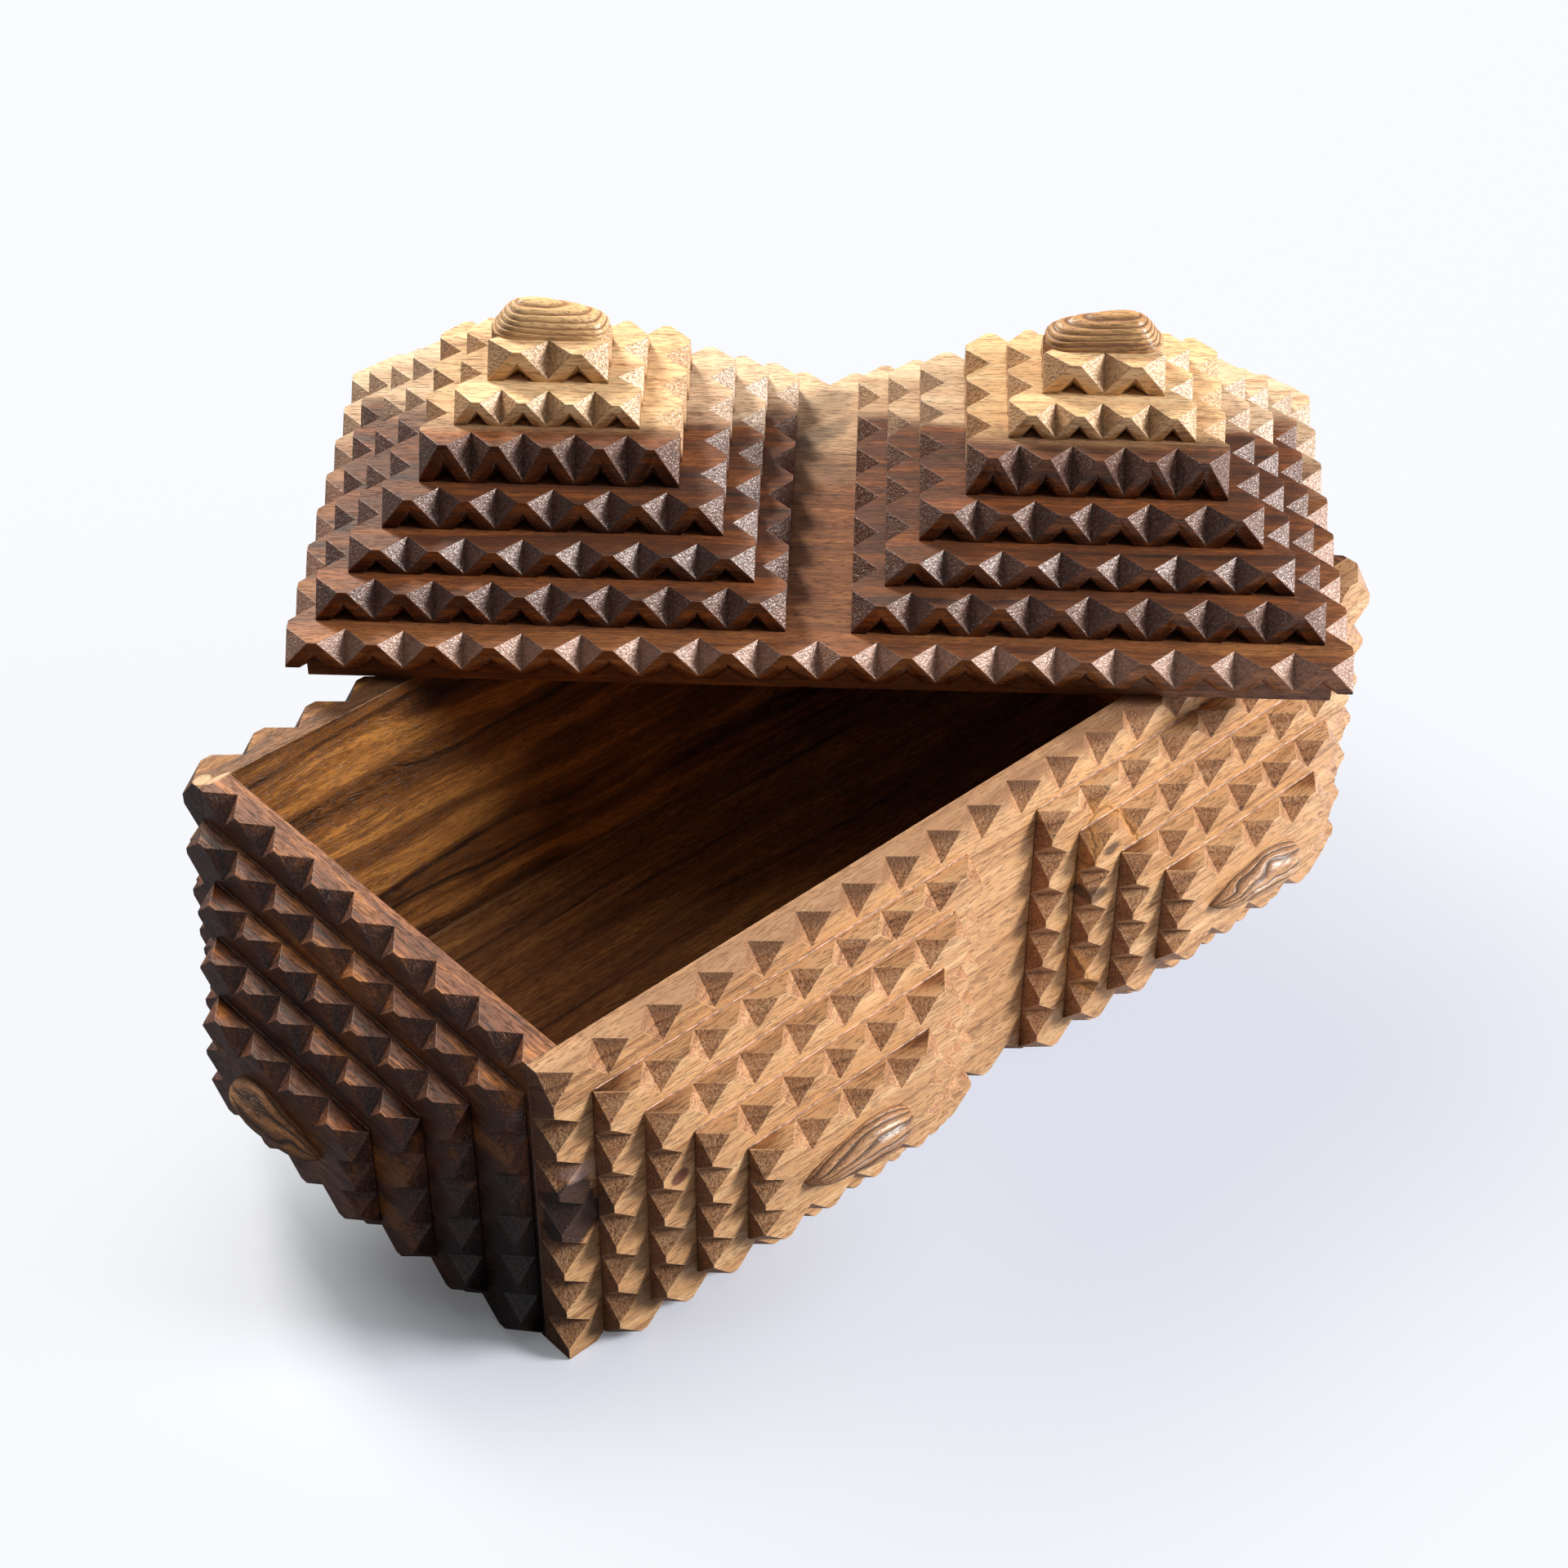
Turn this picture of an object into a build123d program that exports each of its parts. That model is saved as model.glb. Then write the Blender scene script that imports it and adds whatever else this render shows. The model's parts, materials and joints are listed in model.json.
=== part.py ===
from build123d import *

# A tramp-art dice box: a plain five-board box and a loose lift-off lid, both covered with
# stepped pyramids of thin boards whose edges are cut into rows of V notches.  The lid is
# laid askew across the rim and rests on the underside of its locating plate.
#
# Frame: the origin is the middle of the box's underside, +X runs along the length, -Y is
# the front and +Z is up.  Sizes are in millimetres.

import math
import os

# ---- box ------------------------------------------------------------------------------
box_length = 372.4
box_width = 191.0
box_height = 123.0
side_thickness = 12.0           # front and back boards, which cover the ends' edges
end_thickness = 11.6            # left and right boards, between the front and the back
bottom_thickness = 5.0

# ---- lid ------------------------------------------------------------------------------
lid_overlap = 2.7               # of the lid board over the rim when the box is shut
lid_thickness = 10.4
plate_clearance = 3.3           # between the locating plate and the walls
plate_thickness = 7.6

# ---- how the lid lies on the rim --------------------------------------------------------
lid_turn = -44.6                # degrees about +Z
lid_centre_x = 52.9
lid_centre_y = 45.6

# ---- pyramids on the walls, largest tier first ------------------------------------------
wall_tier_thickness = 8.1
wall_margin_top = 11.8          # from the rim to the largest tier
wall_margin_bottom = 2.6
wall_tier_rises = (0.0, 0.342, 0.667, 1.0)      # shares of the way from the largest tier's
                                                # height to the smallest one's
wall_tier_end_notches = (6, 5, 4, 3)             # notch pitches up each tier's ends
wall_tier_long_edge_notches = (8, 7, 6, 4)
knob_land_upright = 11.4        # smallest tier's face above and below its knob

side_margin = 14.3              # from the box's end to the largest front or back tier
side_strip = 32.0               # bare strip between the two pyramids of a long side
side_knob_land = 15.9           # smallest tier's face beyond each end of its knob
side_tier_steps = (0.0, 0.323, 0.641, 1.0)      # shares of the way from largest to smallest

end_margin = 12.6               # from the box's front face to the largest end tier
end_knob_land = 17.9
end_tier_steps = (0.0, 0.384, 0.682, 1.0)
end_tier_shifts = (0.9, 1.2, 3.1, 6.4)          # glued on a little towards the back
end_tier_drops = (0.9, 1.1, 1.9, 4.1)           # and a little low

# ---- pyramids on the lid, largest tier first --------------------------------------------
lid_margin_end = 9.2            # from the lid's end to the largest tier
lid_margin_side = 12.6          # from the lid's long edge to the largest tier
lid_strip = 21.8                # bare strip between the two pyramids
lid_tier_thicknesses = (11.7, 9.7, 11.6, 15.0, 9.2, 11.4)
lid_tier_steps = (0.0, 0.182, 0.366, 0.600, 0.814, 1.0)     # shares of the way from the
lid_tier_insets = (0.0, 0.185, 0.396, 0.576, 0.779, 1.0)    # largest, along and across
lid_tier_drifts = (0.0, 0.2, 0.6, 2.2, 3.4, 3.9)            # glued on towards the lid's end
lid_tier_long_edge_notches = (8, 7, 6, 5, 4, 2)
lid_tier_end_notches = (7, 6, 5, 4, 3, 2)
dome_land_along = 0.6           # smallest tier's top beyond the dome's ends
dome_land_across = 4.5          # and on each side of the dome, were it in the middle

# ---- knobs on the walls and domes on the lid --------------------------------------------
knob_length = 45.0
knob_width = 18.0
knob_height = 9.0
dome_length = 39.6
dome_width = 18.0
dome_height = 12.0
dome_corner = 6.5               # radius of the dome's corners in plan
dome_fullness = 1.14            # of the rounding ball's length and width to the dome's
dome_setback = 3.4              # towards the lid's back, clear of the front notches

# ---- V notches ----------------------------------------------------------------------------
notch_opening = 0.86            # of a notch pitch, measured along the edge
side_rim_notches = 19           # pitches along a long side's rim
end_rim_notches = 8
rim_notch_drift = 4.5           # hand spacing: the front half's notches crowd the middle
rim_notch_reach = 7.6           # across the rim
rim_notch_drop = 9.8            # down the wall
foot_notch_drop = 7.6           # up the wall, along its lower edge
post_notches = 6                # up the long sides' ends
post_notch_pitch = 17.9
post_notch_start = 12.0         # lowest one above the underside
post_notch_reach = 9.2          # over the wall's face
post_notch_drop = 10.2          # into the wall's end
tier_notch_reach = 8.2          # over a wall tier's face
tier_notch_share = 0.98         # of a wall tier's thickness, down its edge
lid_long_edge_notches = 18
lid_end_notches = 8
lid_notch_reach = 8.4
lid_notch_share = 0.92
undercut_opening = 0.5          # of a pitch: the small notches under a lid board's edge
undercut_reach = 5.6
undercut_share = 0.62           # of the board's thickness, up its edge
cutter_margin = 0.6             # how far a notch cutter runs out of the wood

# ---- worked out -----------------------------------------------------------------------------
inside_length = box_length - 2 * end_thickness
inside_width = box_width - 2 * side_thickness
lid_length = inside_length + 2 * lid_overlap
lid_width = inside_width + 2 * lid_overlap


def marks(edge, count, first=0, last=0):
    """Pitch marks along an edge centred on zero, as pairs of place and pitch.

    first and last say how many marks are left out at the two ends."""
    pitch = edge / count
    return [(k * pitch - edge / 2, pitch) for k in range(first, count + 1 - last)]


def notch(at, along, inward, down, opening, reach, drop):
    """The wedge that cuts one V notch into an arris.

    at is the notch's middle on the arris, along runs with the arris, inward runs over the
    broad face and down runs over the edge face.  The valley goes from the point reach
    inward to the point drop down."""
    at, along, inward, down = Vector(at), Vector(along), Vector(inward), Vector(down)
    slope = math.hypot(reach, drop)
    valley = (down * drop - inward * reach) * (1 / slope)
    outward = (inward * drop + down * reach) * (-1 / slope)
    depth = reach * drop / slope
    spread = 1 + cutter_margin / depth
    across = along if valley.cross(along).dot(outward) > 0 else along * -1
    start = at + inward * reach - valley * cutter_margin
    plane = Plane(origin=start, x_dir=across, z_dir=valley)
    half = opening / 2 * spread
    wedge = Polygon((0, 0), (half, depth * spread), (-half, depth * spread), align=None)
    return extrude(plane * wedge, amount=slope + 2 * cutter_margin)


def face_notches(length, width, columns, rows, top, reach, drop):
    """Notches round the upper arrises of a board centred on zero, its face at z = top.

    The first and last along the length cut the board's corners."""
    down = (0, 0, -1)
    cuts = []
    for side in (-1, 1):
        for x, pitch in marks(length, columns):
            at = (x, side * width / 2, top)
            cuts.append(notch(at, (1, 0, 0), (0, -side, 0), down, notch_opening * pitch, reach, drop))
        for y, pitch in marks(width, rows, 1, 1):
            at = (side * length / 2, y, top)
            cuts.append(notch(at, (0, 1, 0), (-side, 0, 0), down, notch_opening * pitch, reach, drop))
    return cuts


def undercuts(length, width, columns, rows, drop):
    """Small notches in a board's lower arrises, midway between the upper ones."""
    up = (0, 0, 1)
    cuts = []
    for side in (-1, 1):
        for x, pitch in marks(length, columns, 0, 1):
            at = (x + pitch / 2, side * width / 2, 0)
            opening = undercut_opening * pitch
            cuts.append(notch(at, (1, 0, 0), (0, -side, 0), up, opening, undercut_reach, drop))
        for y, pitch in marks(width, rows, 0, 1):
            at = (side * length / 2, y + pitch / 2, 0)
            opening = undercut_opening * pitch
            cuts.append(notch(at, (0, 1, 0), (-side, 0, 0), up, opening, undercut_reach, drop))
    return cuts


def slab(length, width, thickness):
    """A plain board centred on zero, its back on z = 0."""
    return Box(length, width, thickness, align=(Align.CENTER, Align.CENTER, Align.MIN))


def wall_tier(length, height, columns, rows):
    """A board of a wall pyramid, its broad face towards +Z."""
    drop = tier_notch_share * wall_tier_thickness
    cuts = face_notches(length, height, columns, rows, wall_tier_thickness, tier_notch_reach, drop)
    return slab(length, height, wall_tier_thickness) - cuts


def lid_tier(length, width, thickness, columns, rows):
    """A board of the lid: V notches round the top and small undercuts between them."""
    drop = lid_notch_share * thickness
    cuts = face_notches(length, width, columns, rows, thickness, lid_notch_reach, drop)
    cuts += undercuts(length, width, columns, rows, undercut_share * thickness)
    return slab(length, width, thickness) - cuts


def side_wall():
    """A long side seen from outside: local X along it, Y up from zero, Z outward."""
    board = Pos(0, box_height / 2, -side_thickness) * slab(box_length, box_height, side_thickness)
    inward = (0, 0, -1)
    cuts = []
    for x, pitch in marks(box_length, side_rim_notches):
        drift = -rim_notch_drift * math.sin(2 * math.pi * x / box_length)
        at = (x + drift, box_height, 0)
        opening = notch_opening * pitch
        cuts.append(notch(at, (1, 0, 0), inward, (0, -1, 0), opening, rim_notch_reach, rim_notch_drop))
    for x, pitch in marks(box_length, side_rim_notches, 1, 1):
        at = (x, 0, 0)
        opening = notch_opening * pitch
        cuts.append(notch(at, (1, 0, 0), inward, (0, 1, 0), opening, rim_notch_reach, foot_notch_drop))
    for side in (-1, 1):
        for k in range(post_notches):
            at = (side * box_length / 2, post_notch_start + k * post_notch_pitch, 0)
            over = (-side, 0, 0)
            opening = notch_opening * post_notch_pitch
            cuts.append(notch(at, (0, 1, 0), over, inward, opening, post_notch_reach, post_notch_drop))
    return board - cuts


def end_wall():
    """An end seen from outside: local X along it, Y up from zero, Z outward."""
    board = Pos(0, box_height / 2, -end_thickness) * slab(inside_width, box_height, end_thickness)
    inward = (0, 0, -1)
    cuts = []
    for x, pitch in marks(inside_width, end_rim_notches, 0, 1):
        middle = x + pitch / 2
        opening = notch_opening * pitch
        rim = (middle, box_height, 0)
        foot = (middle, 0, 0)
        cuts.append(notch(rim, (1, 0, 0), inward, (0, -1, 0), opening, rim_notch_reach, rim_notch_drop))
        cuts.append(notch(foot, (1, 0, 0), inward, (0, 1, 0), opening, rim_notch_reach, foot_notch_drop))
    return board - cuts


def loaf(length, width, height):
    """A carved oval knob on z = 0: half an ellipsoid on a short upright foot."""
    foot = height / 4
    oval = extrude(Ellipse(length / 2, width / 2), amount=foot)
    ball = scale(Sphere(1), by=(length / 2, width / 2, height - foot))
    return oval + Pos(0, 0, foot) * split(ball, bisect_by=Plane.XY, keep=Keep.TOP)


def dome():
    """The lid's carved dome on z = 0: a round-cornered block cut to a long ball's curve."""
    plan = RectangleRounded(dome_length, dome_width, dome_corner)
    half = dome_fullness / 2
    ball = scale(Sphere(1), by=(dome_length * half, dome_width * half, dome_height))
    return extrude(plan, amount=dome_height) & ball


# The four walls, each as a plane on its outer face: X along the wall, Y up, Z outward.
front = Plane(origin=(0, -box_width / 2, 0), x_dir=(1, 0, 0), z_dir=(0, -1, 0))
back = Plane(origin=(0, box_width / 2, 0), x_dir=(-1, 0, 0), z_dir=(0, 1, 0))
left = Plane(origin=(-box_length / 2, 0, 0), x_dir=(0, -1, 0), z_dir=(-1, 0, 0))
right = Plane(origin=(box_length / 2, 0, 0), x_dir=(0, 1, 0), z_dir=(1, 0, 0))

nodes = {}


def build_box():
    """The five plain boards of the box."""
    nodes["bottom_panel"] = slab(inside_length, inside_width, bottom_thickness)
    nodes["front_wall"] = front * side_wall()
    nodes["back_wall"] = back * side_wall()
    nodes["left_wall"] = left * end_wall()
    nodes["right_wall"] = right * end_wall()


def stepped(largest, smallest, shares):
    """Tier sizes from the largest to the smallest, each its share of the way."""
    return [largest + share * (smallest - largest) for share in shares]


def build_wall_pyramid(name, wall, middle, length, knob_land, steps, shifts, drops):
    """One stepped pyramid and its knob, its largest tier length long, on a wall."""
    height = box_height - wall_margin_top - wall_margin_bottom
    level = wall_margin_bottom + height / 2
    lengths = stepped(length, knob_length + 2 * knob_land, steps)
    heights = stepped(height, knob_width + 2 * knob_land_upright, wall_tier_rises)
    counts = zip(wall_tier_long_edge_notches, wall_tier_end_notches)
    tiers = zip(lengths, heights, shifts, drops, counts)
    for number, (along, up, shift, drop, (columns, rows)) in enumerate(tiers):
        board = wall_tier(along, up, columns, rows)
        place = Pos(middle + shift, level - drop, number * wall_tier_thickness)
        nodes[f"{name}_tier_{number + 1}"] = wall * (place * board)
    face = len(steps) * wall_tier_thickness
    place = Pos(middle + shifts[-1], level - drops[-1], face)
    nodes[f"{name}_knob"] = wall * (place * loaf(knob_length, knob_width, knob_height))


def build_wall_pyramids():
    """Two pyramids on the front and on the back, one on each end."""
    length = box_length / 2 - side_margin - side_strip / 2
    away = (side_strip + length) / 2
    steps = side_tier_steps
    straight = (0.0,) * len(steps)
    for name, wall, middle in (
        ("front_left", front, -away),
        ("front_right", front, away),
        ("back_left", back, away),
        ("back_right", back, -away),
    ):
        build_wall_pyramid(name, wall, middle, length, side_knob_land, steps, straight, straight)
    length = box_width - 2 * end_margin
    steps = end_tier_steps
    to_back = [-shift for shift in end_tier_shifts]
    for name, wall, shifts in (("left", left, to_back), ("right", right, end_tier_shifts)):
        build_wall_pyramid(name, wall, 0, length, end_knob_land, steps, shifts, end_tier_drops)


def build_lid():
    """The lid board, its locating plate and its two pyramids, laid askew on the rim."""
    rest = Pos(lid_centre_x, lid_centre_y, box_height + plate_thickness) * Rot(0, 0, lid_turn)
    clear = 2 * plate_clearance
    plate = slab(inside_length - clear, inside_width - clear, plate_thickness)
    board = lid_tier(lid_length, lid_width, lid_thickness, lid_long_edge_notches, lid_end_notches)
    nodes["lid_board"] = rest * board
    nodes["lid_plate"] = rest * (Pos(0, 0, -plate_thickness) * plate)
    largest_length = lid_length / 2 - lid_margin_end - lid_strip / 2
    largest_width = lid_width - 2 * lid_margin_side
    away = (lid_strip + largest_length) / 2
    lengths = stepped(largest_length, dome_length + 2 * dome_land_along, lid_tier_steps)
    widths = stepped(largest_width, dome_width + 2 * dome_land_across, lid_tier_insets)
    counts = zip(lid_tier_long_edge_notches, lid_tier_end_notches)
    tiers = list(zip(lengths, widths, lid_tier_drifts, lid_tier_thicknesses, counts))
    for name, side in (("lid_left", -1), ("lid_right", 1)):
        level = lid_thickness
        for number, (along, across, drift, thickness, (columns, rows)) in enumerate(tiers):
            board = lid_tier(along, across, thickness, columns, rows)
            middle = side * (away + drift)
            nodes[f"{name}_tier_{number + 1}"] = rest * (Pos(middle, 0, level) * board)
            level += thickness
        nodes[f"{name}_dome"] = rest * (Pos(middle, dome_setback, level) * dome())


build_box()
build_wall_pyramids()
build_lid()

os.makedirs("parts", exist_ok=True)
for name, shape in nodes.items():
    export_step(shape, f"parts/{name}.step")
print(len(nodes), "nodes written")
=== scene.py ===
# A chip-carved dice box of walnut boards with a loose lid laid askew across its rim.
# Lengths are in metres in the box's own frame: the origin is the middle of the underside,
# +X runs along the box, -Y is its front and +Z is up.  Grain is laid out in millimetres.

import bmesh
import bpy
import json
import math
from mathutils import Matrix, Vector, noise

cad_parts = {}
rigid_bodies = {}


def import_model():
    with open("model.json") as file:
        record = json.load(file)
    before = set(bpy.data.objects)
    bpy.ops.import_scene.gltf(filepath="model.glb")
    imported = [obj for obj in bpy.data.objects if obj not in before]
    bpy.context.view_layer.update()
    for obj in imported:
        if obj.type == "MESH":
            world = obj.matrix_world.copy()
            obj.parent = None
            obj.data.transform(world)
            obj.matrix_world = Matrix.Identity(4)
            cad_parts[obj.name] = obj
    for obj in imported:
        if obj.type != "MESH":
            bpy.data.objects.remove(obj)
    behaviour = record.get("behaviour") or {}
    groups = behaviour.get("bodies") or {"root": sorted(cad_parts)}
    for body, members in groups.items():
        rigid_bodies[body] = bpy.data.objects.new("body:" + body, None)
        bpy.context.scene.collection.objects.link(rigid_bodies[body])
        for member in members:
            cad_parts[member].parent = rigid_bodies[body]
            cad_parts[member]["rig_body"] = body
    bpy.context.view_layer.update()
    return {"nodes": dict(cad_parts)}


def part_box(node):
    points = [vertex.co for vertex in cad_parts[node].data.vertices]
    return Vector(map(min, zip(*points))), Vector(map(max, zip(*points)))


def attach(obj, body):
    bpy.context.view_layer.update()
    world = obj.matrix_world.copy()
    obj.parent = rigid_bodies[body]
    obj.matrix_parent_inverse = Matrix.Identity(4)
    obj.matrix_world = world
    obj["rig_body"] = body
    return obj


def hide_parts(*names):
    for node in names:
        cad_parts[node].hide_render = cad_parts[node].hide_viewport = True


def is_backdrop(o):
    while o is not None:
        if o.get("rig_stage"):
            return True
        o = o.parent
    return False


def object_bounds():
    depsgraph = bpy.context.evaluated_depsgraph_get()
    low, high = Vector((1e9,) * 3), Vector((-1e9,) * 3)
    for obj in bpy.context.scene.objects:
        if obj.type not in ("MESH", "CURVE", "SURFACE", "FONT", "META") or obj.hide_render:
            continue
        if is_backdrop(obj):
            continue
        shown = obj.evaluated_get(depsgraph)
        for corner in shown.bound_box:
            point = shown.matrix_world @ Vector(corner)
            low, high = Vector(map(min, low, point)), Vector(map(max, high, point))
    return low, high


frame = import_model()
MM = 0.001


# ---- carcass ---------------------------------------------------------------------------------
# Five plain walnut boards glued into a box.  The rims, the lower edges and the long sides'
# ends are chipped with a knife, so no two notches are quite alike, and then lacquered.

STRAY_ALONG = 0.55 * MM         # how far a notch wanders along its edge from its mark
STRAY_DEEP = 0.22 * MM          # how far it wanders in depth
STRAY_PATCH = 8.0 * MM          # distance over which the wandering changes
STRAY_DRAW = 1                  # fixed, so that every run cuts the same notches
RUBBED_ARRIS = 0.24 * MM        # width of the rounding that sanding leaves
THIN_LAND = 0.75 * MM           # least wood left between a notch and the glued face
ON_THE_LAND = 0.01 * MM         # closer than this, a corner lies on that land already
WELD = 0.005 * MM               # corners closer than this are one corner
FLAT = math.radians(1.0)        # faces that meet at less than this are one face
SHARP = math.radians(14.0)      # edges that turn by more than this are rubbed
SQUARE_ON = 0.9995              # cosine above which a face counts as one of the board's own
GLUED_ON = 0.999                # cosine above which a face is the glued one
noise.seed_set(STRAY_DRAW)


def is_board_face(normal, turn):
    """Whether a face is one of a board's own six, and not the side of a notch."""
    square = Matrix.Rotation(-turn, 3, "Z") @ normal
    return max(abs(square.x), abs(square.y), abs(square.z)) > SQUARE_ON


def hand_cut(node, turn=0.0, glued=None):
    """A copy of a board as the knife and the sanding leave it, which stands for the node.

    glued is the direction of the face that is glued to another board, whose edges stay crisp."""
    cad = frame["nodes"][node]
    bm = bmesh.new()
    bm.from_mesh(cad.data)
    bmesh.ops.remove_doubles(bm, verts=bm.verts, dist=WELD)
    bmesh.ops.dissolve_limit(bm, angle_limit=FLAT, verts=bm.verts, edges=bm.edges)
    bm.normal_update()
    glued = Vector(glued) if glued else None
    level = max(v.co.dot(glued) for v in bm.verts) if glued else None
    moves = []
    for vert in bm.verts:
        flats = [f.normal.copy() for f in vert.link_faces if is_board_face(f.normal, turn)]
        if len(flats) == len(vert.link_faces):
            continue
        wander = noise.noise_vector(vert.co / STRAY_PATCH)
        ways = {tuple(round(c, 2) for c in normal) for normal in flats}
        move = wander * (STRAY_ALONG if len(ways) > 1 else STRAY_DEEP)
        for normal in flats:
            move -= move.dot(normal) * normal
        moves.append((vert, move))
    for vert, move in moves:
        vert.co += move
        if glued:
            short = vert.co.dot(glued) - (level - THIN_LAND)
            if 0 < short < THIN_LAND - ON_THE_LAND:
                vert.co -= glued * short
    bm.normal_update()
    edges = [
        e for e in bm.edges
        if e.is_manifold and e.is_convex and e.calc_face_angle() > SHARP
        and not (glued and any(f.normal.dot(glued) > GLUED_ON for f in e.link_faces))
    ]
    arris = bm.faces.layers.float.new("arris")
    made = bmesh.ops.bevel(
        bm, geom=edges, offset=RUBBED_ARRIS, offset_type="OFFSET", segments=2, profile=0.6,
        affect="EDGES", clamp_overlap=False
    )
    for face in made["faces"]:
        face[arris] = 1.0
    bm.normal_update()
    for edge in bm.edges:
        edge.smooth = not edge.is_manifold or edge.is_convex or edge.calc_face_angle() < SHARP
    for face in bm.faces:
        face.smooth = True
    mesh = bpy.data.meshes.new(node + "_cut")
    bm.to_mesh(mesh)
    bm.free()
    piece = bpy.data.objects.new(node + "_board", mesh)
    bpy.context.scene.collection.objects.link(piece)
    weighted = piece.modifiers.new("flat faces", "WEIGHTED_NORMAL")
    weighted.keep_sharp = True
    weighted.weight = 80
    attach(piece, cad["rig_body"])
    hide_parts(node)
    return piece


def new_group(name, inputs, outputs):
    """An empty shader node group with its sockets: name, kind and, for an input, a value."""
    group = bpy.data.node_groups.new(name, "ShaderNodeTree")
    for label, kind, value in inputs:
        socket = group.interface.new_socket(label, in_out="INPUT", socket_type="NodeSocket" + kind)
        if value is not None:
            socket.default_value = value
    for label, kind in outputs:
        group.interface.new_socket(label, in_out="OUTPUT", socket_type="NodeSocket" + kind)
    return group, group.nodes.new("NodeGroupInput").outputs, group.nodes.new("NodeGroupOutput").inputs


def feed(tree, socket, value):
    """Links or sets one input socket."""
    if isinstance(value, bpy.types.NodeSocket):
        tree.links.new(value, socket)
    else:
        socket.default_value = value


def maths(tree, operation, a, b=0.0, c=0.0):
    node = tree.nodes.new("ShaderNodeMath")
    node.operation = operation
    for socket, value in zip(node.inputs, (a, b, c)):
        feed(tree, socket, value)
    return node.outputs[0]


def swing(tree, value, reach):
    """Noise about a half, turned into a swing about nothing."""
    return maths(tree, "MULTIPLY", maths(tree, "SUBTRACT", value, 0.5), reach)


def vectors(tree, operation, a, b=(0, 0, 0), scale=None):
    node = tree.nodes.new("ShaderNodeVectorMath")
    node.operation = operation
    feed(tree, node.inputs[0], a)
    feed(tree, node.inputs[1], b)
    if scale is not None:
        feed(tree, node.inputs["Scale"], scale)
    return node.outputs["Value" if operation in ("LENGTH", "DOT_PRODUCT") else "Vector"]


def blend_colors(tree, share, a, b, kind="MIX"):
    node = tree.nodes.new("ShaderNodeMix")
    node.data_type = "RGBA"
    node.blend_type = kind
    feed(tree, node.inputs["Factor"], share)
    feed(tree, node.inputs[6], a)
    feed(tree, node.inputs[7], b)
    return node.outputs[2]


def step_between(tree, value, low, high, start=0.0, end=1.0):
    """A smooth step of value from start at low to end at high."""
    node = tree.nodes.new("ShaderNodeMapRange")
    node.interpolation_type = "SMOOTHSTEP"
    labels = ("Value", "From Min", "From Max", "To Min", "To Max")
    for label, given in zip(labels, (value, low, high, start, end)):
        feed(tree, node.inputs[label], given)
    return node.outputs["Result"]


def cloud(tree, place, size, detail=2.0, rough=0.5):
    """Noise whose patches are size (along, across, through) millimetres."""
    node = tree.nodes.new("ShaderNodeTexNoise")
    scaled = vectors(tree, "MULTIPLY", place, tuple(1.0 / s for s in size))
    tree.links.new(scaled, node.inputs["Vector"])
    node.inputs["Scale"].default_value = 1.0
    node.inputs["Detail"].default_value = detail
    node.inputs["Roughness"].default_value = rough
    return node


# Sizes of the wood's features, in millimetres along, across and through the grain.
RING_WAVE = (120, 24, 24)       # the slow bend of the growth rings
BAND_LENGTH = 260               # how far one dark band of the figure runs
FIBRE = (34, 0.9, 0.9)
FLECK = (6, 0.45, 0.45)
PATCH = (26, 9, 9)
PORE = (4.2, 0.55, 0.55)
PORE_CLUSTER = (30, 8, 8)
STIPPLE = (1.1, 0.95, 0.95)     # the same pores where a face cuts across them
OILED_PORE = (0.035, 0.016, 0.008, 1.0)
PAINTED_GLINT_SPECK = (0.80, 0.68, 0.64, 1.0)


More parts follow.
